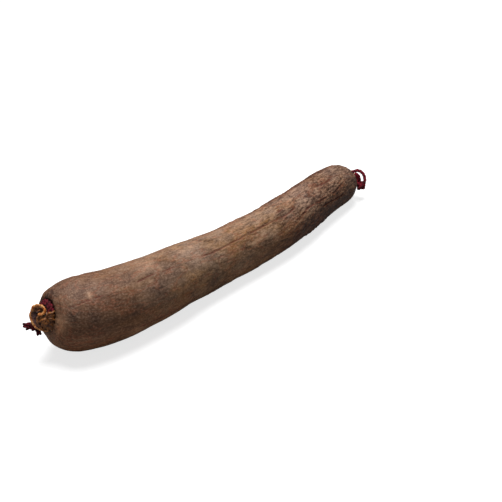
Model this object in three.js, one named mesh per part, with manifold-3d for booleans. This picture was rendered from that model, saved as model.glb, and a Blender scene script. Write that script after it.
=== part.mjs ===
// Whole cured sausage, lying on a flat surface.
// Spiced meat cured inside one length of natural casing. The casing is gathered into a neck at each
// end, bound with red string and left with a short dried tail. The far string ends in a small loop
// that the sausage was hung by while it cured.
// Millimetres, +Z up, near end at -X, far end at +X, origin under the middle of the bound sausage.
import * as THREE from 'three';
import { mergeVertices } from 'three/addons/utils/BufferGeometryUtils.js';
import Module from 'manifold-3d';

const wasm = await Module();
wasm.setup();

// ---- Driving dimensions -------------------------------------------------------------------------

const STRING = 2.8; // string diameter
const GAP = 0.5; // clearance between a bound neck and its string
const NECK_LENGTH = 7.2; // bound stretch of each neck, two turns wide

// Centre line of the casing, from the near tail to the far tail.
const SPINE = [
  [-200.6, 10.2, 43.6],
  [-197.2, 14.0, 42.4],
  [-192.8, 15.5, 40.8],
  [-187.5, 14.4, 38.8],
  [-183.8, 13.6, 37.4],
  [-168.1, 7.2, 31.8],
  [-146.1, -0.2, 29.5],
  [-109.1, -5.6, 27.8],
  [-62.1, -7.2, 25.7],
  [-13.1, -9.7, 23.8],
  [38.9, -11.5, 23.3],
  [92.9, -6.4, 22.7],
  [142.9, 0.6, 21.8],
  [162.9, 2.6, 20.9],
  [182.9, 3.2, 20.8],
  [186.9, 3.6, 20.9],
  [190.9, 4.0, 21.0],
  [194.9, 4.4, 21.1],
  [199.4, 6.2, 21.2],
  [203.4, 9.4, 20.8],
];

// Radius of the filled casing at fractions of the way from neck to neck.
const BARREL = [
  [0.0, 29.0],
  [0.11, 30.0],
  [0.2, 28.7],
  [0.33, 26.4],
  [0.46, 24.4],
  [0.6, 24.0],
  [0.74, 23.4],
  [0.88, 22.4],
  [1.0, 20.6],
];

// Gathered ends: where the neck is bound, and the dome and dried tail on its two sides.
// rise is how far the dome would stand past the middle of the neck if it weren't drawn in there.
const NEAR_END = { x: -187.5, neckRadius: 6.2, dome: 30, rise: 3.0, tailLength: 10.5, tailRadius: 9.6 };
const FAR_END = { x: 190.9, neckRadius: 5.0, dome: 25, rise: 2.9, tailLength: 9.5, tailRadius: 7.4 };
const DOME_BLUNTNESS = 2.1; // 2 is an ellipse, and more is blunter
const DIMPLE_WIDTH = 5; // how far out from the neck the casing is drawn in

// Near string: the knot under its turns, and three short cut ends from there.
const NEAR_KNOT = { centre: [-194.9, 19.5, 31.6], halfSize: [3.6, 3.2, 3.6] };
const NEAR_CUT_ENDS = [
  [
    [-194.9, 19.5, 31.8],
    [-199.5, 21.2, 32.3],
    [-203.9, 22.8, 33.2],
  ],
  [
    [-195.3, 19.2, 31.0],
    [-198.9, 19.6, 30.4],
    [-202.1, 20.6, 30.6],
  ],
  [
    [-195.5, 18.6, 30.6],
    [-196.7, 16.0, 28.4],
    [-197.5, 12.4, 25.8],
  ],
];

// Far string: a knot beside its turns, the hanging loop over the top and down into the loop's
// knot, and the strand that comes back from there.
const FAR_KNOT = { centre: [192.6, -3.6, 23.2], halfSize: [2.8, 2.5, 3.0] };
const LOOP = [
  [193.0, -1.4, 29.0],
  [195.0, -1.3, 29.2],
  [197.7, -1.9, 29.4],
  [200.5, -3.7, 29.7],
  [202.4, -7.0, 28.4],
  [202.9, -10.4, 25.2],
  [201.4, -12.9, 20.8],
  [199.5, -13.4, 17.9],
];
const LOOP_KNOT = { centre: [196.1, -11.8, 15.6], halfSize: [3.8, 4.4, 2.8] };
const RETURN_STRAND = [
  [196.8, -9.9, 18.5],
  [197.0, -8.9, 21.4],
  [196.6, -8.1, 24.9],
  [195.5, -6.7, 27.5],
  [193.8, -4.8, 28.2],
];

// Fineness of the faceted surfaces.
const SIDES = 40;
const BARREL_STEP = 8;
const ARC_STEPS = 9;
const STRING_SIDES = 8;
const TURN_STEPS = 28;

// ---- Helpers ------------------------------------------------------------------------------------

const vector = (p) => new THREE.Vector3(...p);
const smooth = (points) => new THREE.CatmullRomCurve3(points.map(vector), false, 'centripetal');

const spine = smooth(SPINE);
const spineLength = spine.getLength();

// Distance along the centre line at which it passes a given x.
function stationAt(x) {
  let low = 0;
  let high = 1;
  for (let i = 0; i < 40; i += 1) {
    const middle = (low + high) / 2;
    if (spine.getPointAt(middle).x < x) low = middle;
    else high = middle;
  }
  return low * spineLength;
}

// Point and cross-section directions of the centre line at a station, straight past its ends.
function frameAt(station) {
  const u = THREE.MathUtils.clamp(station / spineLength, 0, 1);
  const along = spine.getTangentAt(u);
  const side = new THREE.Vector3(0, 0, 1).cross(along).normalize();
  const top = along.clone().cross(side);
  const point = spine.getPointAt(u).addScaledVector(along, station - u * spineLength);
  return { point, along, side, top };
}

// The geometry with its shared vertices merged, as a solid needs.
function welded(geometry) {
  const bare = geometry.clone();
  bare.deleteAttribute('normal');
  bare.deleteAttribute('uv');
  return mergeVertices(bare, 1e-3);
}

function toSolid(geometry) {
  const closed = welded(geometry);
  const vertProperties = new Float32Array(closed.attributes.position.array);
  const triVerts = new Uint32Array(closed.index.array);
  return new wasm.Manifold(new wasm.Mesh({ numProp: 3, vertProperties, triVerts }));
}

function joined(geometries) {
  const whole = geometries.map(toSolid).reduce((sum, next) => sum.add(next));
  const mesh = whole.getMesh();
  const geometry = new THREE.BufferGeometry();
  geometry.setAttribute('position', new THREE.BufferAttribute(mesh.vertProperties, 3));
  geometry.setIndex(new THREE.BufferAttribute(mesh.triVerts, 1));
  geometry.computeVertexNormals();
  return geometry;
}

function stringAlong(points) {
  const path = smooth(points);
  const section = new THREE.Shape();
  section.absarc(0, 0, STRING / 2, 0, 2 * Math.PI);
  return new THREE.ExtrudeGeometry(section, {
    steps: Math.max(3, Math.round(path.getLength() / STRING)),
    curveSegments: STRING_SIDES,
    bevelEnabled: false,
    extrudePath: path,
  });
}

function knot({ centre, halfSize }) {
  const geometry = new THREE.SphereGeometry(1, 14, 10);
  geometry.scale(...halfSize);
  geometry.translate(...centre);
  return geometry;
}

// One turn of string round a bound neck, offset along the neck.
function turn(end, offset) {
  const ringRadius = end.neckRadius + GAP + STRING / 2;
  const ring = new THREE.TorusGeometry(ringRadius, STRING / 2, STRING_SIDES, TURN_STEPS);
  const { point, along, side, top } = frameAt(stationAt(end.x));
  ring.translate(0, 0, offset);
  ring.applyMatrix4(new THREE.Matrix4().makeBasis(side, top, along));
  ring.translate(point.x, point.y, point.z);
  return ring;
}

// Two turns pressed side by side.
function binding(end) {
  const offset = STRING * 0.46;
  return [turn(end, -offset), turn(end, offset)];
}

// ---- Sausage ------------------------------------------------------------------------------------

// Outline of a gathered end from the barrel outwards: dome, bound neck, flared tail, closed tip.
// Each point is [distance outwards from the middle of the neck, radius].
function endOutline(end, barrelRadius) {
  const { neckRadius, dome, rise, tailLength, tailRadius } = end;
  const halfNeck = NECK_LENGTH / 2;
  const flare = tailLength * 0.6;
  const tip = tailLength - flare;
  const quarter = Array.from({ length: ARC_STEPS + 1 }, (_, i) => (Math.PI / 2) * (i / ARC_STEPS));
  const domeArc = quarter.map((a) => {
    const radius = neckRadius + (barrelRadius - neckRadius) * Math.cos(a);
    const bulge = (1 - (radius / barrelRadius) ** DOME_BLUNTNESS) ** (1 / DOME_BLUNTNESS);
    const drawnIn = (rise + halfNeck) * Math.exp(-(((radius - neckRadius) / DIMPLE_WIDTH) ** 2));
    return [rise - dome * (1 - bulge) - drawnIn, radius];
  });
  const flareArc = quarter.map((a) => [
    halfNeck + flare * Math.sin(a),
    neckRadius + (tailRadius - neckRadius) * (1 - Math.cos(a)),
  ]);
  const tipArc = quarter.slice(1).map((a) => [
    halfNeck + flare + tip * Math.sin(a),
    tailRadius * Math.cos(a),
  ]);
  tipArc[tipArc.length - 1][1] = 0;
  return [...domeArc, ...flareArc, ...tipArc];
}

// Whole outline as [station along the centre line, radius], from tip to tip.
function sausageOutline() {
  const nearNeck = stationAt(NEAR_END.x);
  const farNeck = stationAt(FAR_END.x);
  const radiusCurve = new THREE.SplineCurve(BARREL.map(([f, r]) => new THREE.Vector2(f, r)));
  const radiusAt = (fraction) => {
    const samples = radiusCurve.getPoints(400);
    return samples.find((p) => p.x >= fraction).y;
  };
  const start = nearNeck + NEAR_END.dome - NEAR_END.rise;
  const finish = farNeck - FAR_END.dome + FAR_END.rise;
  const fraction = (station) => (station - nearNeck) / (farNeck - nearNeck);
  const near = endOutline(NEAR_END, radiusAt(fraction(start)));
  const far = endOutline(FAR_END, radiusAt(fraction(finish)));
  const steps = Math.round((finish - start) / BARREL_STEP);
  const barrel = [];
  for (let i = 1; i < steps; i += 1) {
    const station = start + ((finish - start) * i) / steps;
    barrel.push([station, radiusAt(fraction(station))]);
  }
  return [
    ...near.reverse().map(([out, r]) => [nearNeck - out, r]),
    ...barrel,
    ...far.map(([out, r]) => [farNeck + out, r]),
  ];
}

// A lathe of the outline bent along the centre line. Its own weight presses the lowest stretch
// flat, which gives the strip that it rests on.
function sausageGeometry() {
  const outline = sausageOutline().map(([station, r]) => new THREE.Vector2(r, station));
  const geometry = new THREE.LatheGeometry(outline, SIDES);
  const position = geometry.attributes.position;
  const bent = new THREE.Vector3();
  for (let i = 0; i < position.count; i += 1) {
    const { point, side, top } = frameAt(position.getY(i));
    bent.copy(point);
    bent.addScaledVector(side, position.getZ(i));
    bent.addScaledVector(top, position.getX(i));
    position.setXYZ(i, bent.x, bent.y, Math.max(bent.z, 0));
  }
  geometry.computeVertexNormals();
  return geometry;
}

// ---- Materials ----------------------------------------------------------------------------------

const driedCasing = new THREE.MeshStandardMaterial({ color: 0x6b5040, roughness: 0.75, metalness: 0 });
const redString = new THREE.MeshStandardMaterial({ color: 0x6a1225, roughness: 0.9, metalness: 0 });

// ---- Assembly -----------------------------------------------------------------------------------

const group = new THREE.Group();

function addPiece(name, geometry, material) {
  const mesh = new THREE.Mesh(geometry, material);
  mesh.name = name;
  group.add(mesh);
}

addPiece('sausage', sausageGeometry(), driedCasing);
addPiece(
  'near_tie',
  joined([
    ...binding(NEAR_END),
    knot(NEAR_KNOT),
    ...NEAR_CUT_ENDS.map(stringAlong),
  ]),
  redString,
);
addPiece('far_tie', joined([...binding(FAR_END), knot(FAR_KNOT)]), redString);
addPiece('hanging_loop', stringAlong(LOOP), redString);
addPiece('loop_knot', knot(LOOP_KNOT), redString);
addPiece('loop_return', stringAlong(RETURN_STRAND), redString);

export default group;
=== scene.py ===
"""A whole cured sausage: meat cured in natural casing, gathered and tied with red string at both ends."""

import math

import bpy
import mathutils
import numpy as np
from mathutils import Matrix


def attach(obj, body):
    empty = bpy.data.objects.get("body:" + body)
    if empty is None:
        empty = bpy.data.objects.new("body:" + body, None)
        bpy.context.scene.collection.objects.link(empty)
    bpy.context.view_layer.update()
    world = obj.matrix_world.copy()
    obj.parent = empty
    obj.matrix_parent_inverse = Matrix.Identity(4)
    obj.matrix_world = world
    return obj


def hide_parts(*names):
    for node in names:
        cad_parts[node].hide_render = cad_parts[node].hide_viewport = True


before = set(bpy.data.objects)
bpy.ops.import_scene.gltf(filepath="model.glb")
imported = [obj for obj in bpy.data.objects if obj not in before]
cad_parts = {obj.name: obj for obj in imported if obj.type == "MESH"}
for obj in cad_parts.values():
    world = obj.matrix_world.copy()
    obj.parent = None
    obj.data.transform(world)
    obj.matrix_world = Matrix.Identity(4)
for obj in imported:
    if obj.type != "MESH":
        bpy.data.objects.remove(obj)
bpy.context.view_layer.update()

MM = 0.001  # the sizes below are in millimetres, and Blender's are in metres


# ---- Filled casing ---------------------------------------------------
# Chopped, spiced meat stuffed into one length of natural gut and hung to cure for months. As the
# meat dries and shrinks, the casing shrinks with it and takes fine wrinkles, a few long creases
# and deep pleats where each end is gathered into its neck.

# Points on the sausage's bent middle line, from the near end to the far one.
CENTRE_LINE = [
    (-195.2, 17.2, 41.7), (-191.2, 15.2, 40.2), (-187.5, 14.4, 38.8), (-183.8, 13.6, 37.4),
    (-168.1, 7.2, 31.8), (-146.1, -0.2, 29.5), (-109.1, -5.6, 27.8), (-62.1, -7.2, 25.7),
    (-13.1, -9.7, 23.8), (38.9, -11.5, 23.3), (92.9, -6.4, 22.7), (142.9, 0.6, 21.8),
    (162.9, 2.6, 20.9), (182.9, 3.2, 20.8), (186.9, 3.6, 20.9), (190.9, 4.0, 21.0), (194.9, 4.4, 21.1),
    (198.9, 4.8, 21.2),
]
# Radius at fractions of the way from neck to neck.
BARREL = [
    (0.0, 29.0), (0.11, 30.0), (0.2, 28.7), (0.33, 26.4), (0.46, 24.4), (0.6, 24.0), (0.74, 23.4),
    (0.88, 22.4), (1.0, 20.6),
]
NEAR_NECK, FAR_NECK = -187.5, 190.9  # x of the middle of each bound neck
NEAR_NECK_RADIUS, FAR_NECK_RADIUS = 6.0, 4.8
NEAR_DOME, FAR_DOME = (30.0, 3.0), (25.0, 2.9)  # length of the rounded end, and its rise past the neck
NECK_LENGTH = 7.2
NECK_BEVEL = 0.6
DOME_BLUNTNESS = 2.1  # 2 is a round dome, and more is blunter
DIMPLE_WIDTH = 5.0  # how far out from the neck the string draws the dome in

CASING_SIDES = 184  # points round the casing
CASING_STEP = 0.84  # from one ring of points to the next


def smooth_line(points, count):
    """That many points, evenly spaced, on a smooth line through the given ones."""
    points = np.array(points, float)
    hops = np.linalg.norm(np.diff(points, axis=0), axis=1)
    knots = np.concatenate([[0.0], np.cumsum(np.sqrt(hops))])
    slopes = np.gradient(points, knots, axis=0)
    fine = np.linspace(0.0, knots[-1], 60 * len(points))
    span = np.clip(np.searchsorted(knots, fine, "right") - 1, 0, len(knots) - 2)
    width = (knots[span + 1] - knots[span])[:, None]
    u = (fine[:, None] - knots[span][:, None]) / width
    curve = (2 * u**3 - 3 * u**2 + 1) * points[span] + (3 * u**2 - 2 * u**3) * points[span + 1]
    curve += (u**3 - 2 * u**2 + u) * width * slopes[span] + (u**3 - u**2) * width * slopes[span + 1]
    return spread(curve, count)


def length_of(points):
    return np.linalg.norm(np.diff(points, axis=0), axis=1).sum()


def spread(points, count):
    """The same line with that many evenly spaced points."""
    lengths = np.concatenate([[0.0], np.cumsum(np.linalg.norm(np.diff(points, axis=0), axis=1))])
    even = np.linspace(0.0, lengths[-1], count)
    return np.stack([np.interp(even, lengths, column) for column in points.T], axis=1)


def smooth_step(value, low, high):
    """0 up to low, 1 from high on, and a soft slope between them."""
    u = np.clip((value - low) / (high - low), 0.0, 1.0)
    return u * u * (3 - 2 * u)


centre = smooth_line(CENTRE_LINE, 1200)
station = np.concatenate([[0.0], np.cumsum(np.linalg.norm(np.diff(centre, axis=0), axis=1))])
ahead = np.gradient(centre, axis=0)
ahead /= np.linalg.norm(ahead, axis=1)[:, None]
side = np.cross([0.0, 0.0, 1.0], ahead)
side /= np.linalg.norm(side, axis=1)[:, None]
upward = np.cross(ahead, side)


def along_centre(values, at):
    """Values given at the centre line's points, read at other stations."""
    return np.stack([np.interp(at, station, column) for column in values.T], axis=-1)


def line_at(at):
    """The middle line at those stations: its points, and the directions ahead, aside and up."""
    return [along_centre(values, at) for values in (centre, ahead, side, upward)]


near_station = np.interp(NEAR_NECK, centre[:, 0], station)
far_station = np.interp(FAR_NECK, centre[:, 0], station)


def gathered_end(dome, neck_radius, barrel_radius):
    """Outline of one end from the barrel outwards: [distance past the neck's middle, radius]."""
    length, rise = dome
    half = NECK_LENGTH / 2
    angle = np.linspace(0.0, math.pi / 2, 60)
    radius = neck_radius + (barrel_radius - neck_radius) * np.cos(angle)
    bulge = (1 - (radius / barrel_radius) ** DOME_BLUNTNESS) ** (1 / DOME_BLUNTNESS)
    drawn_in = (rise + half) * np.exp(-(((radius - neck_radius) / DIMPLE_WIDTH) ** 2))
    reach = rise - length * (1 - bulge) - drawn_in
    closed = [(half - NECK_BEVEL, neck_radius), (half, neck_radius - NECK_BEVEL), (half, 0.0)]
    return np.concatenate([np.stack([reach, radius], axis=1), closed])


def barrel_radius(at):
    fractions = smooth_line(BARREL, 400)
    return np.interp((at - near_station) / (far_station - near_station), *fractions.T)


barrel_start = near_station + NEAR_DOME[0] - NEAR_DOME[1]
barrel_end = far_station - FAR_DOME[0] + FAR_DOME[1]
barrel = np.linspace(barrel_start, barrel_end, 400)[1:-1]
near_end = gathered_end(NEAR_DOME, NEAR_NECK_RADIUS, barrel_radius(barrel_start))[::-1]
far_end = gathered_end(FAR_DOME, FAR_NECK_RADIUS, barrel_radius(barrel_end))
outline = np.concatenate([
    np.stack([near_station - near_end[:, 0], near_end[:, 1]], axis=1),
    np.stack([barrel, barrel_radius(barrel)], axis=1),
    np.stack([far_station + far_end[:, 0], far_end[:, 1]], axis=1),
])
outline = spread(outline, round(length_of(outline) / CASING_STEP))


def skin(rings):
    """A closed surface through rings of points: its points, and faces that look outwards."""
    rings = np.array(rings, float)
    count, sides = rings.shape[:2]
    poles = np.stack([rings[0].mean(axis=0), rings[-1].mean(axis=0)])
    points = np.concatenate([rings.reshape(-1, 3), poles])
    a = np.arange(count * sides).reshape(count, sides)
    b = np.roll(a, -1, axis=1)
    quads = np.stack([a[:-1], b[:-1], b[1:], a[1:]], axis=-1).reshape(-1, 4)
    first, last = count * sides, count * sides + 1
    faces = quads.tolist()
    faces += [(first, q, p) for p, q in zip(a[0], b[0])] + [(last, p, q) for p, q in zip(a[-1], b[-1])]
    p, q, r, t = (points[quads[:, k]] for k in range(4))
    if ((np.cross(p, q) + np.cross(q, r)) * t).sum() < 0:
        faces = [face[::-1] for face in faces]
    return points, faces


def mesh_of(name, *skins):
    """One mesh from skins in millimetres."""
    points, faces, start = [], [], 0
    for skin_points, skin_faces in skins:
        points.append(skin_points)
        faces += [[start + int(k) for k in face] for face in skin_faces]
        start += len(skin_points)
    mesh = bpy.data.meshes.new(name)
    mesh.from_pydata(np.concatenate(points) * MM, [], faces)
    mesh.shade_smooth()
    return mesh


def store(mesh, name, values):
    """One number for each vertex, for the casing's wrinkles and its colours to read."""
    values = np.asarray(values, np.float32)
    kind = "FLOAT_VECTOR" if values.ndim == 2 else "FLOAT"
    slot = "vector" if values.ndim == 2 else "value"
    mesh.attributes.new(name, kind, "POINT").data.foreach_set(slot, values.ravel())


def new_piece(name, mesh):
    piece = bpy.data.objects.new(name, mesh)
    bpy.context.scene.collection.objects.link(piece)
    return piece


rings = outline[1:-1]
turn = np.arange(CASING_SIDES) * 2 * math.pi / CASING_SIDES  # 0 on top, growing towards -Y
at = rings[:, 0][:, None]
radius = rings[:, 1][:, None]
middle, forward, aside, up = (values[:, None] for values in line_at(rings[:, 0]))
outward = up * np.cos(turn)[None, :, None] - aside * np.sin(turn)[None, :, None]
overshoot = (at - np.clip(at, station[0], station[-1]))[..., None]
casing_points = middle + forward * overshoot + outward * radius[..., None]
casing_mesh = mesh_of("sausage_casing", skin(casing_points))
past = at - near_station


def degrees_from(angle):
    """How far round the casing each point is from that angle, from -180 to 180 degrees."""
    return (np.degrees(turn) - angle + 180) % 360 - 180


# Creases that the drying casing pressed into itself. Each is a line of [mm past the near neck,
# degrees from the top towards -Y], with its half width and depth in millimetres.
CREASES = [
    ([(8, 47), (24, 40), (44, 36)], 0.5, 0.4), ([(66, 34.5), (77, 32), (88, 30.5)], 0.75, 0.5),
    ([(90, 34), (106, 33)], 0.5, 0.3),
    ([(136, 37), (150, 38.5), (170, 36), (186, 35), (194, 33)], 0.65, 0.5),
    ([(194, 34), (210, 34), (226, 33), (236, 36)], 0.65, 0.5),
    ([(238, 36), (252, 36), (264, 33)], 0.75, 0.55), ([(236, 21), (250, 19)], 0.9, 0.4),
    ([(298, 71), (314, 74), (328, 78), (344, 79)], 0.8, 0.9), ([(290, 53), (302, 57), (314, 58)], 0.7, 0.7),
    ([(322, 60), (335, 57), (346, 52)], 0.7, 0.7), ([(262, 58), (276, 52), (290, 54)], 0.9, 0.4),
    ([(306, 20), (322, 26), (338, 25)], 0.9, 0.45), ([(40, -60), (70, -66), (104, -62)], 0.9, 0.5),
    ([(140, -75), (180, -68), (214, -72)], 0.65, 0.4), ([(236, -52), (270, -60), (310, -56)], 0.9, 0.5),
    ([(180, -110), (220, -118), (262, -112)], 0.9, 0.5), ([(60, 108), (100, 114), (130, 110)], 0.8, 0.4),
]
FADE_OUT, FADE_IN = 4, 6  # a crease fades from this far past its last point to this far before it
LIP_PLACE, LIP_SHARE = 2.2, 0.45  # its raised lips: half widths from the middle, and part of the depth


def crease_depth():
    """How deep and how near a crease each point of the casing is."""
    depth = nearness = np.zeros(casing_points.shape[:2])
    for line, half_width, deep in CREASES:
        line = smooth_line(line, 60)
        first, last = line[0, 0], line[-1, 0]
        away = np.radians(degrees_from(0) - np.interp(past, line[:, 0], line[:, 1])) * radius
        ends = smooth_step(past, first - FADE_OUT, first + FADE_IN)
        ends = ends * (1 - smooth_step(past, last - FADE_IN, last + FADE_OUT))
        groove = np.exp(-((away / half_width) ** 2)) * ends
        lips = np.exp(-(((np.abs(away) - LIP_PLACE * half_width) / half_width) ** 2)) * ends
        depth = depth + deep * (groove - LIP_SHARE * lips)
        nearness = np.maximum(nearness, groove)
    return depth, nearness


# Marks of [mm past the near neck, degrees, radius in mm, strength]: pale ones where fat lies just
# under the gut, and dark ones that stayed moist.
PALE_MARKS = [
    (4, 80, 6.0, 0.75), (30, 32, 3.0, 0.8), (79, 41, 2.6, 0.7), (93, 26, 3.0, 0.4), (122, 9, 3.6, 0.6),
    (134, 14, 3.0, 0.7), (86, 8, 7.0, 0.3), (196, 2, 8.0, 0.3), (262, 12, 7.0, 0.25),
    (150, -30, 6.0, 0.4), (60, 120, 6.0, 0.4), (240, 150, 7.0, 0.4),
]
DARK_MARKS = [
    (14, 62, 7.0, 0.8), (30, 64, 8.0, 0.6), (2, -8, 5.0, 0.8), (58, 66, 9.0, 0.6), (40, 74, 8.0, 0.4),
    (84, 58, 8.0, 0.65), (110, 44, 8.0, 0.4), (145, 36, 7.0, 0.3), (181, 42, 6.0, 0.3),
    (265, -8, 6.0, 0.35), (262, 38, 6.0, 0.4), (292, 46, 8.0, 0.4), (314, 64, 9.0, 0.6),
    (333, 66, 9.0, 0.65), (352, 55, 7.0, 0.5), (90, -70, 12.0, 0.4), (100, 40, 12.0, 0.4),
    (120, 38, 9.0, 0.3), (78, 46, 9.0, 0.4), (300, 34, 8.0, 0.3), (316, 30, 11.0, 0.4),
    (340, 34, 10.0, 0.45), (200, -95, 12.0, 0.4), (300, -60, 11.0, 0.4), (150, 140, 12.0, 0.4),
]
# Places where the filling stands out or sinks: [mm past the near neck, degrees, radius, height].
BULGES = [(9, -42, 11.0, 1.2), (27, -42, 7.0, -0.5), (330, -30, 10.0, 0.5)]
# A round fold: mm past the near neck, degrees, its radius, its half width, and the button inside it.
SWIRL_PAST, SWIRL_ANGLE, SWIRL_RADIUS, SWIRL_WIDTH, BUTTON_RADIUS = 156.0, 64.0, 5.4, 0.9, 3.5
SWIRL_DEPTH, BUTTON_HEIGHT = 0.5, 0.4
SWIRL_SHALLOWEST = 0.9  # the direction from its middle, in radians
BACKLIT_SIDE, BACKLIT_FADE = -75.0, (45.0, 73.0)  # the side painted red-brown as back-light glowing through the thin gut, and where it fades: degrees
NECK_FREE_OF_MARKS = (9.0, 14.0)  # the radii between which the marks fade in
GATHERED = (7.0, 24.0)  # the radii between which the end's pleats fade out
ROUGHER_FROM = 60  # the casing grows rougher from this far past one neck to as far before the other


def marks(places):
    """The strongest of the marks at each point of the casing."""
    strongest = np.zeros(casing_points.shape[:2])
    for mm, angle, size, strength in places:
        distance = np.hypot(past - mm, np.radians(degrees_from(angle)) * radius)
        strongest = np.maximum(strongest, strength * np.exp(-((distance / size) ** 2)))
    return strongest * smooth_step(radius, *NECK_FREE_OF_MARKS)


depth, nearness = crease_depth()
swirl_away = np.radians(degrees_from(SWIRL_ANGLE)) * radius
swirl_radius = np.hypot(past - SWIRL_PAST, swirl_away)
swirl_turn = np.arctan2(swirl_away, past - SWIRL_PAST)
swirl = np.exp(-(((swirl_radius - SWIRL_RADIUS) / SWIRL_WIDTH) ** 2))
swirl *= 0.6 - 0.4 * np.cos(swirl_turn - SWIRL_SHALLOWEST)
depth = depth + SWIRL_DEPTH * swirl - BUTTON_HEIGHT * np.exp(-((swirl_radius / BUTTON_RADIUS) ** 2))
nearness = np.maximum(nearness, 0.7 * swirl)
for *place, height in BULGES:
    depth = depth - height * marks([(*place, 1.0)])
every = np.broadcast_to(at, depth.shape)


def with_poles(values):
    """The two closing points take the mean of the ring next to them."""
    flat = values.reshape(depth.size, -1)
    ends = np.stack([values[0].mean(axis=0), values[-1].mean(axis=0)]).reshape(2, -1)
    return np.concatenate([flat, ends]).squeeze()


# A painted back-light band: red-brown along the back upper side of the casing.
ruddy = 1 - smooth_step(np.abs(degrees_from(BACKLIT_SIDE)), *BACKLIT_FADE)
for name, values in {
    "straight": np.stack([every, radius * np.cos(turn), radius * np.sin(turn)], axis=-1),
    "gather": 1 - smooth_step(np.broadcast_to(radius, depth.shape), *GATHERED),
    "towards_far": smooth_step(every, near_station + ROUGHER_FROM, far_station - ROUGHER_FROM),
    "crease_depth": depth,
    "crease": nearness,
    "pale": marks(PALE_MARKS),
    "dusky": marks(DARK_MARKS),
    "ruddy": np.broadcast_to(ruddy, depth.shape),
}.items():
    store(casing_mesh, name, with_poles(values))


def put(tree, kind, into=None, **settings):
    """Adds a node. into gives its inputs a value, another node, or one output of a node."""
    made = tree.nodes.new(kind)
    for name, value in settings.items():
        setattr(made, name, value)
    for name, value in (into or {}).items():
        if isinstance(value, bpy.types.Node):
            value = value.outputs[0]
        if isinstance(value, bpy.types.NodeSocket):
            tree.links.new(value, made.inputs[name])
        else:
            made.inputs[name].default_value = value
    return made


def maths_nodes(tree):
    """Short functions that add a Math node, a Vector Math node and one that scales a vector."""

    def maths(operation, a, b=0.0, c=0.0):
        return put(tree, "ShaderNodeMath", {0: a, 1: b, 2: c}, operation=operation)

    def vectors(operation, a, b=(0.0, 0.0, 0.0)):
        return put(tree, "ShaderNodeVectorMath", {0: a, 1: b}, operation=operation)

    def scaled(vector, amount):
        return put(tree, "ShaderNodeVectorMath", {0: vector, "Scale": amount}, operation="SCALE")

    return maths, vectors, scaled


def new_geometry_tree(name, sizes):
    """A geometry tree with named number inputs, a material input, and its two ends."""
    tree = bpy.data.node_groups.new(name, "GeometryNodeTree")
    sockets = [("Geometry", "INPUT", "Geometry"), ("Geometry", "OUTPUT", "Geometry")]
    sockets += [(size, "INPUT", "Float") for size in sizes] + [("Finish", "INPUT", "Material")]
    for title, end, kind in sockets:
        tree.interface.new_socket(title, in_out=end, socket_type="NodeSocket" + kind)
    return tree, tree.nodes.new("NodeGroupInput"), tree.nodes.new("NodeGroupOutput")


def attribute_in(tree, name, kind="FLOAT"):
    return put(tree, "GeometryNodeInputNamedAttribute", {"Name": name}, data_type=kind)


def store_in(tree, geometry, name, value):
    return put(tree, "GeometryNodeStoreNamedAttribute", {
        "Geometry": geometry, "Name": name, "Value": value})


def finish_tree(tree, given, result, geometry):
    """Sends the geometry, in its finish, to the tree's end."""
    done = put(tree, "GeometryNodeSetMaterial", {
        "Geometry": geometry, "Material": given.outputs["Finish"]})
    tree.links.new(done.outputs[0], result.inputs["Geometry"])


def plain_mesh(piece):
    """The piece's mesh as its modifiers leave it. The piece itself is removed."""
    mesh = bpy.data.meshes.new_from_object(piece.evaluated_get(bpy.context.evaluated_depsgraph_get()))
    mesh.name = piece.name
    mesh.shade_smooth()
    bpy.data.objects.remove(piece)
    return mesh


def apply_tree(piece, tree, sizes):
    """Runs the tree on the piece with those named sizes and keeps the result as its plain mesh."""
    modifier = piece.modifiers.new(tree.name, "NODES")
    modifier.node_group = tree
    for item in tree.interface.items_tree:
        if item.in_out == "INPUT" and item.name in sizes:
            modifier[item.identifier] = sizes[item.name]
    return new_piece(piece.name, plain_mesh(piece))


# How much each pattern's length is drawn in, so that it runs along the gut, and its fixed sizes.
LONG_WRINKLES, SLANTED_NET, NO_LENGTH = (0.28, 1.0, 1.0), (0.55, 1.0, 1.0), (0.0, 1.0, 1.0)
PATCH_SIZE = 34.0  # long wrinkles come in patches this wide
NET_PULL_SIZE, NET_PULL = 6.25, 7.0  # the net is pulled about in swirls this wide, by this much
PLEAT_DRIFT = (0.012, 0.0, 0.0)  # how fast the pleats wander round per mm outwards
STRIP_HEIGHT, STRIP_ROUNDING = 0.05, 0.8  # the strip that it rests on, above the table


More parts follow.
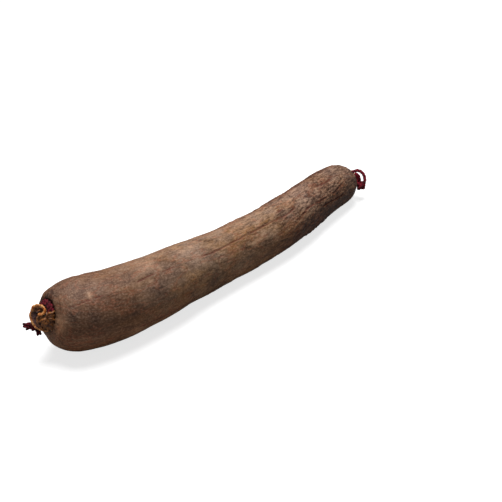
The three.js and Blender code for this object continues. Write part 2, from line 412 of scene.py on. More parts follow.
def wrinkle_tree():
    """Pushes the casing in and out: filling lumps, long wrinkles, a shrunken net and end pleats."""
    tree, given, result = new_geometry_tree(
        "casing wrinkles",
        ["Lump size", "Lump height", "Wrinkle size", "Wrinkle height", "Net size", "Net height",
         "Pleats", "Pleat height"],
    )
    size = given.outputs
    maths, vectors, scaled = maths_nodes(tree)
    straight = attribute_in(tree, "straight", "FLOAT_VECTOR")

    def noise(vector, width, detail, shift):
        return put(tree, "ShaderNodeTexNoise", {
            "Vector": vectors("ADD", vector, (shift, shift, shift)),
            "Scale": maths("DIVIDE", 1.0, width), "Detail": detail, "Roughness": 0.55})

    def ridge(source):
        """Sharp crests, 1 high, where a noise crosses its middle."""
        away = maths("ABSOLUTE", maths("SUBTRACT", source, 0.5))
        return maths("POWER", maths("SUBTRACT", 1.0, maths("MULTIPLY", away, 4.0)), 2.0)

    lumps = maths("SUBTRACT", noise(straight, size["Lump size"], 1.0, 11.0), 0.5)
    lumps = maths("MULTIPLY", lumps, size["Lump height"])

    drawn = vectors("MULTIPLY", straight, LONG_WRINKLES)
    long_wrinkles = ridge(noise(drawn, size["Wrinkle size"], 2.0, 37.0))
    patches = put(tree, "ShaderNodeMapRange", {
        "Value": noise(straight, PATCH_SIZE, 1.0, 71.0), "From Min": 0.42, "From Max": 0.62})
    more = maths("MULTIPLY_ADD", attribute_in(tree, "towards_far"), 0.75, 0.25)
    long_wrinkles = maths("MULTIPLY", maths("MULTIPLY", long_wrinkles, patches), more)
    long_wrinkles = maths("MULTIPLY", long_wrinkles, size["Wrinkle height"])

    pull = put(tree, "ShaderNodeTexNoise", {"Vector": straight, "Scale": 1 / NET_PULL_SIZE, "Detail": 2.0})
    pull = scaled(pull.outputs["Color"], NET_PULL)
    net = put(tree, "ShaderNodeTexVoronoi", {
        "Vector": vectors("ADD", vectors("MULTIPLY", straight, SLANTED_NET), pull),
        "Scale": maths("DIVIDE", 1.0, size["Net size"])}, feature="DISTANCE_TO_EDGE")
    net = put(tree, "ShaderNodeMapRange", {"Value": net, "From Max": 0.35, "To Min": -1.0, "To Max": 0.0})
    net = maths("MULTIPLY", maths("MULTIPLY", net, more), size["Net height"])

    spokes = vectors("NORMALIZE", vectors("MULTIPLY", straight, NO_LENGTH))
    spokes = vectors("ADD", spokes, vectors("MULTIPLY", straight, PLEAT_DRIFT))
    spokes = put(tree, "ShaderNodeTexNoise", {
        "Vector": spokes, "Scale": maths("DIVIDE", size["Pleats"], 6.0), "Detail": 1.0})
    pleats = maths("MULTIPLY", maths("SUBTRACT", ridge(spokes), 0.6), attribute_in(tree, "gather"))
    pleats = maths("MULTIPLY", pleats, size["Pleat height"])

    height = maths("ADD", maths("ADD", lumps, long_wrinkles), maths("ADD", net, pleats))
    height = maths("SUBTRACT", height, attribute_in(tree, "crease_depth"))
    push = scaled(put(tree, "GeometryNodeInputNormal"), maths("MULTIPLY", height, MM))
    moved = put(tree, "GeometryNodeSetPosition", {"Geometry": size["Geometry"], "Offset": push})

    # The casing's own weight presses it flat where it rests.
    place = put(tree, "ShaderNodeSeparateXYZ", {0: put(tree, "GeometryNodeInputPosition")}).outputs
    rested = maths("SMOOTH_MAX", place[2], STRIP_HEIGHT * MM, STRIP_ROUNDING * MM)
    place = put(tree, "ShaderNodeCombineXYZ", {0: place[0], 1: place[1], 2: rested})
    rested = put(tree, "GeometryNodeSetPosition", {"Geometry": moved, "Position": place})

    # The depth of the net and the long wrinkles, kept for the colour to darken the grooves as painted shade.
    relief_for_shade = maths("ADD", maths("DIVIDE", net, size["Net height"]), maths("MULTIPLY", long_wrinkles, 1.5))
    finish_tree(tree, given, result, store_in(tree, rested, "wrinkle", relief_for_shade))
    return tree


def linear(code):
    """An sRGB hex colour as the linear values that a shader takes."""
    parts = [int(code[k:k + 2], 16) / 255 for k in (1, 3, 5)]
    return tuple(p / 12.92 if p <= 0.04045 else ((p + 0.055) / 1.055) ** 2.4 for p in parts) + (1.0,)


def new_material(name, finish):
    """A material of one surface. finish is what that is given: how rough it is, and so on."""
    material = bpy.data.materials.new(name)
    material.use_nodes = True
    tree = material.node_tree
    tree.nodes.clear()
    surface = put(tree, "ShaderNodeBsdfPrincipled", finish)
    put(tree, "ShaderNodeOutputMaterial", {"Surface": surface})
    return material, tree, surface


def stored(tree, name, output="Fac"):
    """What the mesh stored under that name."""
    return put(tree, "ShaderNodeAttribute", attribute_name=name).outputs[output]


def colour_nodes(tree):
    """Short functions that add the nodes which every finish here is made of."""

    def noise(vector, size, detail, roughness=0.55, distortion=0.0):
        """size is the width of its patches, in the units of the vector."""
        return put(tree, "ShaderNodeTexNoise", {
            "Vector": vector, "Scale": 1 / size, "Detail": detail, "Roughness": roughness,
            "Distortion": distortion}).outputs["Fac"]

    def between(value, low, high, to_low=0.0, to_high=1.0):
        return put(tree, "ShaderNodeMapRange", {
            "Value": value, "From Min": low, "From Max": high, "To Min": to_low, "To Max": to_high})

    def mix(share, a, b, blend="MIX"):
        mixed = put(tree, "ShaderNodeMix", {0: share, 6: a, 7: b}, data_type="RGBA", blend_type=blend)
        return mixed.outputs[2]

    return noise, between, mix


# Zones along the gut in mm: its smooth, dark near end turns mottled, the far end turns duller, and
# the far half's lower side is darkened by a painted shadow.
NEAR_SMOOTH, FAR_DULL, FAR_PAINTED_SHADOW = (40.0, 130.0), (230.0, 290.0), (190.0, 260.0)
# Zones by height above its middle line: where the bloom ends and the lower side is partly painted shade, and
# the thick end's underside, paler as painted light.
LOWER_SIDE, LOWEST_PART = (15.0, 2.0), (6.0, -6.0)
# What the zones do to the colour, as factors for red, green and blue.
DULL_TINT = (0.58, 0.53, 0.66, 1.0)
UNDER_TINT = (0.88, 0.80, 0.69, 1.0)
LOWEST_TINT = (1.35, 1.3, 1.25, 1.0)
PAINTED_SHADOW_TINT = (0.48, 0.34, 0.26, 1.0)
BACKLIT_TINT = (0.58, 0.38, 0.26, 1.0)


def dried_casing():
    """Dried natural gut over cured meat: matt, mottled brown with a grey-mauve bloom."""
    material, tree, surface = new_material("dried_casing", {
        "Roughness": 0.66, "IOR": 1.45, "Specular IOR Level": 0.18})
    noise, between, mix = colour_nodes(tree)
    maths, vectors, _ = maths_nodes(tree)
    straight = stored(tree, "straight", "Vector")
    crease, wrinkle, gather, pale, dusky, ruddy, far = (
        stored(tree, name)
        for name in ("crease", "wrinkle", "gather", "pale", "dusky", "ruddy", "towards_far")
    )

    def shade(share, colour, factor):
        """Lightens or darkens by a factor where share is 1."""
        return mix(share, colour, (factor, factor, factor, 1.0), "MULTIPLY")

    def stretched(amount):
        """The unbent casing's coordinates with its length drawn in, for marks that run along it."""
        return vectors("MULTIPLY", straight, (amount, 1.0, 1.0))

    def product(a, b):
        return maths("MULTIPLY", a, b)

    def lines(draw, size, level, width, detail=3):
        """Thin lines along the gut, where a noise passes through a level."""
        away = maths("ABSOLUTE", maths("SUBTRACT", noise(stretched(draw), size, detail), level))
        return between(away, width, 0.0)

    apart = put(tree, "ShaderNodeSeparateXYZ", {0: straight}).outputs
    past_near, upper = apart["X"], apart["Y"]
    near = between(past_near, *NEAR_SMOOTH, 1.0, 0.0)

    # Broad zones of colour: brown, mauve bloom, and tan where the filling's fat shows through.
    bloom = between(noise(stretched(0.6), 26.0, 3), 0.40, 0.60)
    colour = mix(bloom, linear("#74512f"), linear("#735d4b"))
    tan = between(noise(stretched(0.55), 15.0, 4, 0.62, 0.8), 0.50, 0.66, 0.0, 0.65)
    colour = mix(tan, colour, linear("#94704c"))
    dark = between(noise(stretched(0.6), 14.0, 5, 0.66, 0.6), 0.52, 0.40, 0.0, 0.66)
    colour = mix(dark, colour, linear("#3f2a1a"))
    colour = mix(product(near, 0.72), colour, linear("#593d30"))
    colour = mix(between(past_near, *FAR_DULL), colour, DULL_TINT, "MULTIPLY")
    dusted = product(between(upper, 12.0, 20.0), between(near, 1.0, 0.0, 0.0, 0.3))
    colour = mix(product(dusted, bloom), colour, linear("#93796b"))
    ragged = between(noise(straight, 6.0, 4, 0.65), 0.3, 0.62, 0.35, 1.3)
    colour = mix(product(pale, ragged), colour, linear("#a6836a"))
    colour = mix(product(dusky, ragged), colour, linear("#3a2922"))

    # Mottling a few millimetres wide that runs along the gut, stronger towards the far end.
    blotch = noise(stretched(0.36), 3.7, 4, 0.64, 0.15)
    light = product(between(blotch, 0.52, 0.66), between(far, 0, 1, 0.10, 0.4))
    colour = mix(light, colour, linear("#ae8f76"))
    deep = product(between(blotch, 0.49, 0.35), between(far, 0, 1, 0.25, 0.9))
    colour = mix(deep, colour, linear("#2c170b"))

    # The gut's own web of fine veins, and the grain of dust and mould bloom between them.
    veins = product(lines(0.28, 4.6, 0.5, 0.045), between(far, 0, 1, 0.05, 0.36))
    colour = mix(veins, colour, linear("#c09a7e"))
    veins = product(lines(0.24, 4.6, 0.46, 0.045), between(far, 0, 1, 0.12, 0.75))
    colour = mix(veins, colour, linear("#351c12"))
    streak = product(lines(0.3, 9.0, 0.52, 0.03, 4), 0.35)
    colour = mix(streak, colour, linear("#86492f"))
    grain = noise(stretched(0.85), 1.5, 3, 0.7)
    colour = mix(between(grain, 0.50, 0.66, 0.0, 0.22), colour, linear("#b39580"))
    colour = mix(between(grain, 0.50, 0.34, 0.0, 0.34), colour, linear("#28160c"))

    # Mould bloom settles on top only, so the lower side keeps the gut's own brown; its darkening there is
    # painted shade.
    colour = mix(between(upper, *LOWER_SIDE), colour, UNDER_TINT, "MULTIPLY")
    # Painted light: the lowest part near the thick end is lightened.
    colour = mix(product(between(upper, *LOWEST_PART), near), colour, LOWEST_TINT, "MULTIPLY")
    # Painted shadow: the far half's lower side is darkened.
    far_painted_shadow = product(between(upper, 10.0, -3.0), between(past_near, *FAR_PAINTED_SHADOW))
    colour = mix(far_painted_shadow, colour, PAINTED_SHADOW_TINT, "MULTIPLY")
    # Painted light: a red-brown band along the back upper side stands for back-light glowing through the
    # thin gut.
    colour = mix(product(ruddy, between(far, 0, 1, 0.3, 1.0)), colour, BACKLIT_TINT, "MULTIPLY")

    # Painted shade darkens the net's grooves and the gathered ends, and the creases take dark red-brown:
    # their own colour with painted shade in them.
    colour = shade(between(wrinkle, -0.2, -1.0, 0.0, 0.5), colour, 0.55)
    colour = mix(between(crease, 0.15, 0.85, 0.0, 0.8), colour, linear("#4f2418"))
    colour = shade(between(gather, 0.45, 0.95, 0.0, 0.95), colour, 0.28)
    tree.links.new(colour, surface.inputs["Base Color"])

    fine = put(tree, "ShaderNodeBump", {"Strength": 0.45, "Distance": 0.3 * MM, "Height": grain})
    broad = put(tree, "ShaderNodeBump", {
        "Strength": 0.5, "Distance": 0.8 * MM, "Height": blotch, "Normal": fine})
    tree.links.new(broad.outputs[0], surface.inputs["Normal"])
    return material


sausage = apply_tree(new_piece("sausage_casing", casing_mesh), wrinkle_tree(), {
    "Lump size": 26.0, "Lump height": 1.7,
    "Wrinkle size": 3.6, "Wrinkle height": 1.1,
    "Net size": 3.4, "Net height": 0.34,
    "Pleats": 14.0, "Pleat height": 1.2,
    "Finish": dried_casing(),
})
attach(sausage, "root")
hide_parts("sausage")


# ---- Gathered ends ---------------------------------------------------
# Past each string the empty casing stands out as a short tuft, gathered into folds and cut off.
# The near one has dried into a stiff scroll, a cupped flap and a puckered lobe, amber where the
# bare gut is thin.

TUFT_CENTRE = np.array([-193.0, 10.9, 40.6])


def facing(azimuth, elevation):
    """Directions to the right, up and out of something that faces that way."""
    a, e = math.radians(azimuth), math.radians(elevation)
    out = np.array([math.sin(a) * math.cos(e), -math.cos(a) * math.cos(e), math.sin(e)])
    right = np.array([math.cos(a), math.sin(a), 0.0])
    return right, np.cross(out, right), out


TUFT_AXES = np.stack(facing(-48.0, 31.0))


def sweep(path, radii, sides=14):
    """Rings of a round fold along a path of points, with its radius at each point."""
    path = np.array(path, float)
    line = smooth_line(np.column_stack([path, radii]), 8 * len(path))
    line, radius = line[:, :3], line[:, 3]
    along = np.gradient(line, axis=0)
    along /= np.linalg.norm(along, axis=1)[:, None]
    across = np.cross(along, [0.31, 0.17, 0.93])
    across /= np.linalg.norm(across, axis=1)[:, None]
    over = np.cross(along, across)
    around = np.arange(sides) * 2 * math.pi / sides
    tips = ((0, -1.0, 0.05), (0, -0.7, 0.7), (-1, 0.7, 0.7), (-1, 1.0, 0.05))  # rounded ends
    rows = [(k, line[k] + tip * radius[k] * along[k], share * radius[k]) for k, tip, share in tips]
    rows[2:2] = [(k, line[k], radius[k]) for k in range(len(line))]
    return [
        middle + size * (np.outer(np.cos(around), across[k]) + np.outer(np.sin(around), over[k]))
        for k, middle, size in rows
    ]


def wall(foot, rim, thickness):
    """Rings of a wall of dried casing that rises from the foot line to a rounded rim."""
    foot, rim = smooth_line(foot, 60), smooth_line(rim, 60)
    rise = rim - foot
    rise /= np.linalg.norm(rise, axis=1)[:, None]
    through = np.cross(rise, np.gradient(rim, axis=0))
    through *= thickness / 2 / np.linalg.norm(through, axis=1)[:, None]
    cap = rise * thickness / 2
    return np.stack([
        foot - through, foot + through, rim + through, rim + 0.7 * through + 0.7 * cap, rim + cap,
        rim - 0.7 * through + 0.7 * cap, rim - through,
    ], axis=1)


def lump(middle, half_sizes):
    """Rings of a rounded lump."""
    around = np.arange(20) * 2 * math.pi / 20
    tilt = np.linspace(0.05, math.pi - 0.05, 14)[:, None]
    ball = np.stack([np.sin(tilt) * np.cos(around), np.sin(tilt) * np.sin(around),
                     np.cos(tilt) * np.ones_like(around)], axis=-1)
    return np.array(middle) + ball * half_sizes


def fuse(name, skins, grain, passes):
    """Joins skins that run into each other into one closed skin, with faces about grain mm wide."""
    piece = new_piece(name, mesh_of(name, *skins))
    remesh = piece.modifiers.new("one skin", "REMESH")
    remesh.mode = "VOXEL"
    remesh.voxel_size = grain * MM
    smooth = piece.modifiers.new("soft", "SMOOTH")
    smooth.iterations = passes
    return plain_mesh(piece)


def at_vertices(mesh, name):
    flat = np.empty(3 * len(mesh.vertices), np.float32)
    mesh.vertices.foreach_get(name, flat)
    return flat.reshape(-1, 3)


def points_of(mesh):
    """The mesh's points in millimetres."""
    return at_vertices(mesh, "co") / MM


def crinkle(mesh, sizes):
    """Uneven drying: pushes the skin in and out by noises of [width, height] millimetres."""
    points, normals = points_of(mesh), at_vertices(mesh, "normal")
    for width, height in sizes:
        push = [height * mathutils.noise.noise(point) for point in points / width]
        points += np.array(push)[:, None] * normals
    mesh.vertices.foreach_set("co", (points * MM).ravel().astype(np.float32))
    mesh.update()


def hollowness(mesh, passes):
    """How far each point lies below its surroundings, in millimetres. Crests are negative."""
    points = points_of(mesh)
    ends = np.empty(2 * len(mesh.edges), np.int32)
    mesh.edges.foreach_get("vertices", ends)
    a, b = ends.reshape(-1, 2).T
    degree = np.bincount(ends, minlength=len(points))[:, None]
    smooth = points.astype(float)
    for _ in range(passes):
        total = np.zeros_like(smooth)
        for k, column in enumerate(smooth.T):
            total[:, k] = np.bincount(a, column[b], len(points)) + np.bincount(b, column[a], len(points))
        smooth = 0.5 * smooth + 0.5 * total / degree
    return ((smooth - points) * at_vertices(mesh, "normal")).sum(axis=1)


def closeness(points, line, reach):
    """1 on a line, falling off over the reach."""
    away = np.linalg.norm(points[:, None] - smooth_line(line, 60)[None], axis=2).min(axis=1)
    return np.exp(-((away / reach) ** 2))


# Millimetres right, up and out from the middle of the near tuft's cut end.
SCROLL_RIM = [
    (-8.6, 5.0, 0.9), (-6.7, 8.1, 1.5), (-3.6, 9.2, 2.0), (-0.2, 8.3, 2.5), (2.1, 5.6, 2.8),
    (1.5, 2.9, 2.8), (-0.9, 1.8, 2.5), (-3.3, 2.1, 1.9),
]
SCROLL_FOOT = [
    (-5.4, 3.2, -0.8), (-4.9, 4.6, -0.8), (-3.6, 5.6, -0.6), (-1.9, 5.6, -0.8), (-0.4, 4.8, -1.2),
    (-0.6, 3.9, -1.2), (-1.4, 3.2, -0.8), (-2.8, 2.4, -0.8),
]
FLAP_RIM = [
    (-8.4, 5.4, 0.4), (-9.9, 2.0, 0.8), (-9.2, -2.2, 1.1), (-7.3, -5.8, 1.0), (-4.8, -8.6, 0.6),
    (-1.2, -10.3, 0.0), (3.0, -11.0, -1.0),
]
FLAP_FOOT = [
    (-4.6, 3.0, -2.0), (-5.0, 1.0, -2.0), (-4.8, -1.8, -2.0), (-3.8, -4.2, -2.0), (-2.2, -6.0, -2.4),
    (0.4, -7.0, -3.0), (3.0, -7.0, -4.0),
]
NEAR_WALL = [(-0.8, -9.4, -0.2), (-2.9, -6.4, 0.8), (-3.9, -3.2, 1.5), (-3.9, -0.6, 1.7), (-2.7, 0.3, 1.6)]
PUCKER = (3.6, -0.4, 1.6)  # where the gathers of the lower lobe come together
GATHER_ENDS = [
    (8.8, 1.6, 2.6), (9.0, -2.2, 2.2), (9.0, -5.2, 0.6), (7.8, -7.4, -0.6), (6.2, -9.8, -1.4),
    (3.4, -10.2, -0.8), (1.0, -8.8, 0.0), (-0.8, -6.4, 0.9), (-1.9, -3.6, 1.4),
]
NECK_IN_TUFT = (1.1, 1.8, -6.4)
TOP_FOLD = [(8.9, 4.1, 2.0), (7.5, 3.0, 3.5), (5.9, 3.1, 3.1), (4.4, 1.9, 2.6)]
DEEP_FOLD_SHADOW = [(-1.9, -0.6, 1.5), (-0.2, 0.4, 2.0), (1.8, 1.2, 2.2), (3.4, 2.5, 2.6)]
PINCHED_FOLD = [(2.4, 0.2, 1.3), (4.2, 0.9, 1.9), (5.6, 0.2, 1.5)]
LOBE_EDGE_SHADOW = [(8.6, 1.6, 1.6), (8.6, -3.0, 0.6), (7.2, -7.0, -0.8)]
INSIDE_FLAP = [(-7.4, 3.0, -1.5), (-6.6, -1.6, -1.5), (-3.6, -6.6, -1.0)]
SCROLL_THICKNESS, FLAP_THICKNESS = 2.0, 1.3
TUFT_GRAIN = 0.34  # the size of the faces of the joined skin
TUFT_CRINKLES = [(2.6, 0.42), (1.1, 0.2)]  # width and height
HOLLOW_REACH = 12  # how many edges away the surroundings of a point reach

# The lobe, and the doubled gut behind the folds: middle and half sizes.
LUMPS = [
    ((4.2, -3.6, -2.0), (6.6, 6.6, 4.6)), ((7.0, -0.6, 1.0), (2.2, 4.4, 2.7)),
    ((-1.6, -4.4, -0.6), (2.0, 2.6, 1.8)), ((-1.2, -6.4, -1.2), (2.0, 2.0, 1.8)),
    ((-2.2, -0.6, -4.6), (6.4, 7.4, 3.4)),
]

folds = [sweep([NECK_IN_TUFT, (0.5, 0.2, -3.6), (0.6, -0.6, -2.2)], [5.6, 6.0, 5.4])]
folds += [lump(*sizes) for sizes in LUMPS]
folds += [wall(SCROLL_FOOT, SCROLL_RIM, SCROLL_THICKNESS), wall(FLAP_FOOT, FLAP_RIM, FLAP_THICKNESS)]
folds += [sweep(NEAR_WALL, [0.7, 1.0, 1.0, 1.0, 0.7]), sweep(TOP_FOLD, [0.7, 1.2, 1.0, 0.7])]
folds += [sweep(PINCHED_FOLD, [0.7, 1.0, 0.7])]
for n, end in enumerate(GATHER_ENDS):
    middle = [(p + e) / 2 + lift for p, e, lift in zip(PUCKER, end, (0.0, 0.0, 1.5))]
    folds.append(sweep([PUCKER, middle, end], [0.6, 0.8 + 0.35 * (n % 2), 0.9]))
tuft_skins = [(TUFT_CENTRE + points @ TUFT_AXES, faces) for points, faces in map(skin, folds)]
near_tuft_mesh = fuse("near_tuft", tuft_skins, TUFT_GRAIN, 2)
crinkle(near_tuft_mesh, TUFT_CRINKLES)
local = (points_of(near_tuft_mesh) - TUFT_CENTRE) @ TUFT_AXES.T
amber_edges = ((SCROLL_RIM, 1.7, 1.0), (FLAP_RIM, 1.1, 0.8), (TOP_FOLD, 1.4, 0.5), (PINCHED_FOLD, 1.2, 0.55))
lips = [share * closeness(local, line, reach) for line, reach, share in amber_edges]
store(near_tuft_mesh, "lip", np.max(lips, axis=0))
# How hollow each point lies, with painted shadow lines added along the deep fold between scroll and lobe and
# along the lobe's edge.
hollow = hollowness(near_tuft_mesh, HOLLOW_REACH)
hollow = hollow + 0.45 * closeness(local, DEEP_FOLD_SHADOW, 1.0) + 0.3 * closeness(local, LOBE_EDGE_SHADOW, 1.1)
store(near_tuft_mesh, "hollow", hollow)
store(near_tuft_mesh, "inside", closeness(local, INSIDE_FLAP, 3.0))

# The far tuft is a plain gathered one: pleats that open out past the string.
FAR_TUFT_PLEATS = 9
FAR_TUFT = [(2.8, 4.6), (4.2, 4.8), (5.8, 5.8), (7.4, 6.6), (8.6, 6.8), (9.2, 6.0), (8.4, 4.4), (7.4, 2.2)]
FAR_TUFT_RIM, FAR_RIM_WIDTH = 9.0, 0.8  # how far out its rim is, and how wide the amber on it
FAR_TUFT_RINGS, FAR_TUFT_SIDES = 36, 96
FIRST_INNER_RING = 27

around = np.arange(FAR_TUFT_SIDES) * 2 * math.pi / FAR_TUFT_SIDES
profile = smooth_line(FAR_TUFT, FAR_TUFT_RINGS)
open_out = smooth_step(profile[:, :1], 3.2, 7.5)
uneven = 1.3 * np.sin(2 * around) + 0.8 * np.sin(3 * around + 1)
fold = 0.5 + 0.5 * np.cos(FAR_TUFT_PLEATS * around + uneven)
tuft_radius = profile[:, 1:] * (1 - 0.34 * open_out * fold) * (1 + 0.10 * open_out * np.sin(around + 2))
tuft_reach = profile[:, :1] + open_out * (0.9 * np.sin(2 * around + 1) - 0.8 * fold)
middle, forward, aside, up = line_at(far_station)
outward = np.cos(around)[:, None] * up - np.sin(around)[:, None] * aside
far_tuft_points = middle + tuft_reach[..., None] * forward + tuft_radius[..., None] * outward
far_tuft_mesh = mesh_of("far_tuft", skin(far_tuft_points))
rim = np.exp(-(((profile[:, :1] - FAR_TUFT_RIM) / FAR_RIM_WIDTH) ** 2)) * np.ones_like(around)
store(far_tuft_mesh, "lip", np.concatenate([rim.ravel(), [0, 0]]))
# How hollow the far tuft lies, for its painted shade and painted highlights.
store(far_tuft_mesh, "hollow", hollowness(far_tuft_mesh, HOLLOW_REACH))
inner = (np.arange(FAR_TUFT_RINGS) >= FIRST_INNER_RING)[:, None] * np.ones_like(around)
store(far_tuft_mesh, "inside", np.concatenate([inner.ravel(), [0, 1]]))


def bare_gut():
    """Empty dried gut: brown where it is doubled, glassy amber where one thin edge stands alone. Crests
    carry a painted highlight and hollows painted shade.
    """
    material, tree, surface = new_material("dried_bare_gut", {
        "Roughness": 0.5, "Specular IOR Level": 0.22})
    noise, between, mix = colour_nodes(tree)
    place = put(tree, "ShaderNodeTexCoord").outputs["Object"]
    lip, hollow, inside = (stored(tree, name) for name in ("lip", "hollow", "inside"))

    def patches(size, detail):
        return noise(place, size * MM, detail, 0.5)

    colour = mix(between(patches(2.8, 4), 0.42, 0.6), linear("#3f2212"), linear("#7a4a22"))
    colour = mix(inside, colour, linear("#4a383c"))
    amber = mix(between(patches(2.6, 3), 0.42, 0.6), linear("#cf9a62"), linear("#a4561c"))
    colour = mix(between(lip, 0.25, 0.8), colour, amber)
    # Painted highlight: crests are lightened to tan. Painted shade: hollows and the painted shadow lines go
    # near black.
    colour = mix(between(hollow, -0.06, -0.45, 0.0, 0.5), colour, linear("#b87c45"))
    colour = mix(between(hollow, 0.03, 0.38, 0.0, 0.95), colour, linear("#140a06"))
    tree.links.new(colour, surface.inputs["Base Color"])
    bump = put(tree, "ShaderNodeBump", {"Strength": 0.4, "Distance": 0.2 * MM, "Height": patches(1.2, 3)})
    tree.links.new(bump.outputs[0], surface.inputs["Normal"])
    return material


bare_gut_finish = bare_gut()
for mesh in (near_tuft_mesh, far_tuft_mesh):
    mesh.materials.append(bare_gut_finish)
    tuft = new_piece(mesh.name, mesh)
    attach(tuft, "root")
    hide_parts("sausage")


# ---- String ----------------------------------------------------------
# Dark red cotton kitchen string, three plies twisted together. Each end of the sausage is bound
# with turns of it and knotted, the near ends are cut short, and the far end keeps a hanging loop.

STRING = 2.8
PLY_RADIUS = 0.98  # the plies bulge, so over their crests the string is wider than STRING
PLY_PLACE = 0.92  # how far a ply lies from the string's middle, in ply radii: they press together
LAY_LENGTH = 11.0  # one full twist
STRING_STEP = 0.45
PLY_SIDES = 9


def string_tree():
    """Three twisted plies along every line, opening out where the line's loose attribute grows."""
    tree, given, result = new_geometry_tree("laid string", ["Ply radius", "Lay length", "Fray"])
    size = given.outputs
    maths, vectors, scaled = maths_nodes(tree)
    lines = put(tree, "GeometryNodeMeshToCurve", {"Mesh": size["Geometry"]})
    lines = put(tree, "GeometryNodeResampleCurve", {
        "Curve": lines, "Length": STRING_STEP * MM}, mode="LENGTH")
    plies = put(tree, "GeometryNodeDuplicateElements", {"Geometry": lines, "Amount": 3}, domain="SPLINE")
    length = put(tree, "GeometryNodeSplineParameter").outputs["Length"]
    twist = maths("DIVIDE", length, maths("MULTIPLY", size["Lay length"], MM))
    twist = maths("ADD", twist, maths("DIVIDE", plies.outputs["Duplicate Index"], 3.0))
    angle = maths("MULTIPLY", twist, 2 * math.pi)
    normal = put(tree, "GeometryNodeInputNormal")
    across = vectors("CROSS_PRODUCT", put(tree, "GeometryNodeInputTangent"), normal)
    loose = attribute_in(tree, "loose")
    opened = maths("MULTIPLY_ADD", loose, size["Fray"], 1.0)
    offset = maths("MULTIPLY", maths("MULTIPLY", size["Ply radius"], PLY_PLACE * MM), opened)
    push = vectors(
        "ADD", scaled(normal, maths("MULTIPLY", maths("COSINE", angle), offset)),
        scaled(across, maths("MULTIPLY", maths("SINE", angle), offset)),
    )
    plies = put(tree, "GeometryNodeSetPosition", {"Geometry": plies, "Offset": push})
    thin = maths("MULTIPLY_ADD", loose, -0.5, 1.0)
    plies = put(tree, "GeometryNodeSetCurveRadius", {"Curve": plies, "Radius": thin})
    ring = put(tree, "GeometryNodeCurvePrimitiveCircle", {
        "Resolution": PLY_SIDES, "Radius": maths("MULTIPLY", size["Ply radius"], MM)})
    round_ply = put(tree, "GeometryNodeSplineParameter").outputs["Factor"]
    made = put(tree, "GeometryNodeCurveToMesh", {
        "Curve": store_in(tree, plies, "along", length),
        "Profile Curve": store_in(tree, ring, "round", round_ply), "Fill Caps": True})
    finish_tree(tree, given, result, made)
    return tree


FIBRES_ROUND = 7  # bundles of fibres round a ply
FIBRE_LEAN = 220.0  # how many times they go round it in a metre
STAINED_FROM, STAINED_TO = 0.1, -0.1  # metres along the sausage
STAIN_TINT = (0.62, 0.55, 0.58, 1.0)


def red_string():
    """Twisted cotton, dyed dark red and soaked with fat from the cure: matt, nearly black in shade."""
    material, tree, surface = new_material("red_string", {
        "Roughness": 0.85, "Specular IOR Level": 0.2})
    noise, between, mix = colour_nodes(tree)
    maths = maths_nodes(tree)[0]
    place = put(tree, "ShaderNodeTexCoord").outputs["Object"]
    lean = maths("MULTIPLY_ADD", stored(tree, "along"), FIBRE_LEAN, stored(tree, "round"))
    fibres = maths("SINE", maths("MULTIPLY", lean, 2 * math.pi * FIBRES_ROUND))
    patches = between(noise(place, 3 * MM, 3, 0.5), 0.35, 0.65)
    colour = mix(patches, linear("#38070f"), linear("#7a1224"))
    # The near string is stained by the fat that ran down while the sausage hung by its loop.
    along_sausage = put(tree, "ShaderNodeSeparateXYZ", {0: place}).outputs["X"]
    colour = mix(between(along_sausage, STAINED_FROM, STAINED_TO), colour, STAIN_TINT, "MULTIPLY")
    tree.links.new(colour, surface.inputs["Base Color"])
    bump = put(tree, "ShaderNodeBump", {"Strength": 0.6, "Distance": 0.1 * MM, "Height": fibres})
    tree.links.new(bump.outputs[0], surface.inputs["Normal"])
    return material


laid_string = string_tree()
string_finish = red_string()


def string_piece(name, lines, node, loose_ends=()):
    """A piece of string along lines in millimetres. loose_ends are those with a cut, frayed end."""
    points, edges, loose = [], [], []
    for n, line in enumerate(lines):
        start = sum(map(len, points))
        points.append(line)
        edges += [(start + k, start + k + 1) for k in range(len(line) - 1)]
        to_end = np.linalg.norm(line - line[-1], axis=1)
        loose.append(1 - smooth_step(to_end, 0.0, 3.5) if n in loose_ends else np.zeros(len(line)))
    mesh = bpy.data.meshes.new(name)
    mesh.from_pydata(np.concatenate(points) * MM, edges, [])
    store(mesh, "loose", np.concatenate(loose))
    piece = apply_tree(new_piece(name, mesh), laid_string, {
        "Ply radius": PLY_RADIUS, "Lay length": LAY_LENGTH, "Fray": 0.5, "Finish": string_finish})
    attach(piece, "root")
    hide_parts(node)
    return piece


def winding(at, turns):
    """Turns of string round the neck at that station: [turns so far, mm along the neck, radius]."""
    turns = np.array(turns, float)
    count = np.linspace(turns[0, 0], turns[-1, 0], 400)
    along, radius = (np.interp(count, turns[:, 0], turns[:, k]) for k in (1, 2))
    angle = 2 * math.pi * count
    middle, forward, aside, up = line_at(at)
    outward = (radius * np.cos(angle))[:, None] * up - (radius * np.sin(angle))[:, None] * aside
    return middle + along[:, None] * forward + outward


def overhand(middle, half_size, tilt):
    """The line of a tight overhand knot of that half size, turned about the upright by tilt."""
    t = np.linspace(0.0, 2 * math.pi, 200)
    # A trefoil knot, divided by about its own half width and half height.
    knot = np.stack([
        (np.sin(t) + 2 * np.sin(2 * t)) / 2.8,
        (np.cos(t) - 2 * np.cos(2 * t)) / 3.0,
        -np.sin(3 * t),
    ], axis=1) * (np.array(half_size) - STRING / 2)
    c, s = math.cos(math.radians(tilt)), math.sin(math.radians(tilt))
    return np.array(middle) + knot @ np.array([[c, s, 0.0], [-s, c, 0.0], [0.0, 0.0, 1.0]])


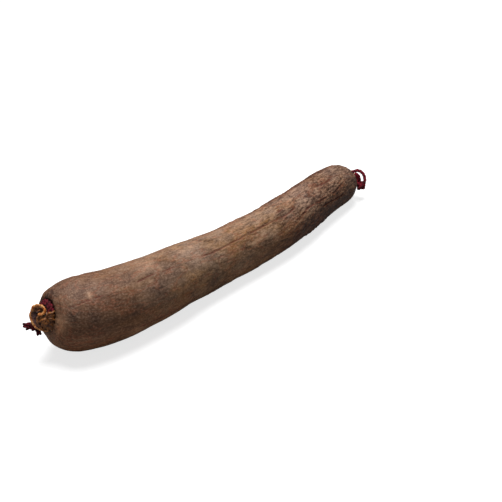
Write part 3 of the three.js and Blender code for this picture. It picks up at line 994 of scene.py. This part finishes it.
NEAR_TURNS = [
    (0.0, 1.4, 8.0), (1.0, 1.3, 8.0), (1.2, -1.4, 8.0), (2.2, -1.4, 8.0), (2.4, -0.8, 9.8),
    (3.5, -0.6, 9.9),
]
FAR_TURNS = [(0.0, -1.3, 6.7), (1.0, -1.3, 6.7), (1.2, 1.3, 6.7), (2.3, 1.3, 6.7)]
NEAR_KNOT = ((-195.4, 18.6, 30.8), (5.0, 4.8, 5.0))
FAR_KNOT = ((192.6, -3.6, 23.2), (3.0, 2.8, 3.2))
NEAR_CUT_ENDS = [
    [(-194.9, 19.5, 31.8), (-199.3, 21.0, 32.1), (-203.9, 22.8, 32.3)],
    [(-195.3, 19.2, 31.0), (-198.9, 19.8, 30.2), (-202.6, 21.6, 30.6)],
    [(-195.5, 18.6, 30.6), (-196.7, 16.0, 28.4), (-197.5, 12.4, 25.8)],
]
LOOP = [
    (193.0, -1.4, 29.0), (195.0, -1.3, 29.2), (197.7, -1.9, 29.4), (200.5, -3.7, 29.7),
    (202.4, -7.0, 28.4), (202.9, -10.4, 25.2), (201.4, -12.9, 20.8), (199.5, -13.4, 17.9),
    (197.6, -12.9, 15.6), (196.2, -11.5, 15.4), (196.8, -9.9, 18.5), (197.0, -8.9, 21.4),
    (196.6, -8.1, 24.9), (195.5, -6.7, 27.5), (193.8, -4.8, 28.2),
]
LOOP_KNOT = ((196.1, -11.4, 15.8), (5.2, 5.4, 3.9))
KNOT_TAIL = [
    (197.2, -11.4, 13.9), (195.2, -10.2, 14.5), (194.4, -8.8, 17.2), (194.9, -7.4, 20.6),
    (194.8, -6.2, 24.2), (193.9, -5.0, 27.2),
]

near_lines = [winding(near_station, NEAR_TURNS), overhand(*NEAR_KNOT, 20.0)]
near_lines += [smooth_line(end, 60) for end in NEAR_CUT_ENDS]
string_piece("near_string", near_lines, "near_tie", loose_ends=(2, 3, 4))
far_lines = [winding(far_station, FAR_TURNS), overhand(*FAR_KNOT, 0.0)]
string_piece("far_string", far_lines, "far_tie")
loop_knot_lines = [overhand(*LOOP_KNOT, 60.0), smooth_line(KNOT_TAIL, 60)]
loop_knot = string_piece("loop_knot_string", loop_knot_lines, "loop_knot")
loop_line = smooth_line(LOOP, 160)
loop = string_piece("hanging_loop_string", [loop_line], "hanging_loop")
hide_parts("loop_return")


# ---- Studio ----------------------------------------------------------
# A white table top under soft, even light from a wide lamp above and a little behind, seen from
# the corner of the near end.

CAMERA_AIM = (0.0359, 0.0029, 0.0)
CAMERA_AZIMUTH, CAMERA_ELEVATION = -48.17, 31.0
CAMERA_DISTANCE = 0.7728
CAMERA_LENS = 57.37
FLOOR_HALF = 6.0
FLOOR_GLOW, ROOM_LIGHT = 0.74, 0.15
LAMP_WIDTH, LAMP_POWER = 0.95, 32.0
LAMP_PLACE, LAMP_TILT = (0.06, 0.2, 1.28), (-9.0, 3.0, 0.0)  # the tilt is in degrees

camera_data = bpy.data.cameras.new("camera")
camera_data.lens = CAMERA_LENS
camera = new_piece("camera", camera_data)
back = facing(CAMERA_AZIMUTH, CAMERA_ELEVATION)[2]
camera.location = np.array(CAMERA_AIM) + CAMERA_DISTANCE * back
camera.rotation_euler = (math.radians(90 - CAMERA_ELEVATION), 0.0, math.radians(CAMERA_AZIMUTH))
bpy.context.scene.camera = camera

floor_mesh = bpy.data.meshes.new("floor")
corners = FLOOR_HALF * np.array([(-1, -1, 0), (1, -1, 0), (1, 1, 0), (-1, 1, 0)])
floor_mesh.from_pydata(corners, [], [(0, 1, 2, 3)])
floor = new_piece("floor", floor_mesh)
floor_finish, floor_tree, floor_surface = new_material("white_table", {
    "Base Color": linear("#a0a0a0"), "Roughness": 0.9, "Emission Color": (1.0, 1.0, 1.0, 1.0)})
# The table is lit from below as well, which the camera sees as a lighter shadow.
seen = put(floor_tree, "ShaderNodeLightPath").outputs["Is Camera Ray"]
glow = put(floor_tree, "ShaderNodeMath", {0: seen, 1: FLOOR_GLOW}, operation="MULTIPLY")
floor_tree.links.new(glow.outputs[0], floor_surface.inputs["Emission Strength"])
floor_mesh.materials.append(floor_finish)

world = bpy.data.worlds.new("white_room")
bpy.context.scene.world = world
world.use_nodes = True
background = world.node_tree.nodes["Background"]
background.inputs["Color"].default_value = (1.0, 1.0, 1.0, 1.0)
background.inputs["Strength"].default_value = ROOM_LIGHT

lamp_data = bpy.data.lights.new("overhead_softbox", "AREA")
lamp_data.shape = "DISK"
lamp_data.size = LAMP_WIDTH
lamp_data.energy = LAMP_POWER
lamp = new_piece("overhead_softbox", lamp_data)
lamp.location = LAMP_PLACE
lamp.rotation_euler = [math.radians(angle) for angle in LAMP_TILT]

view = bpy.context.scene.view_settings
view.view_transform = "Standard"
view.look = "None"
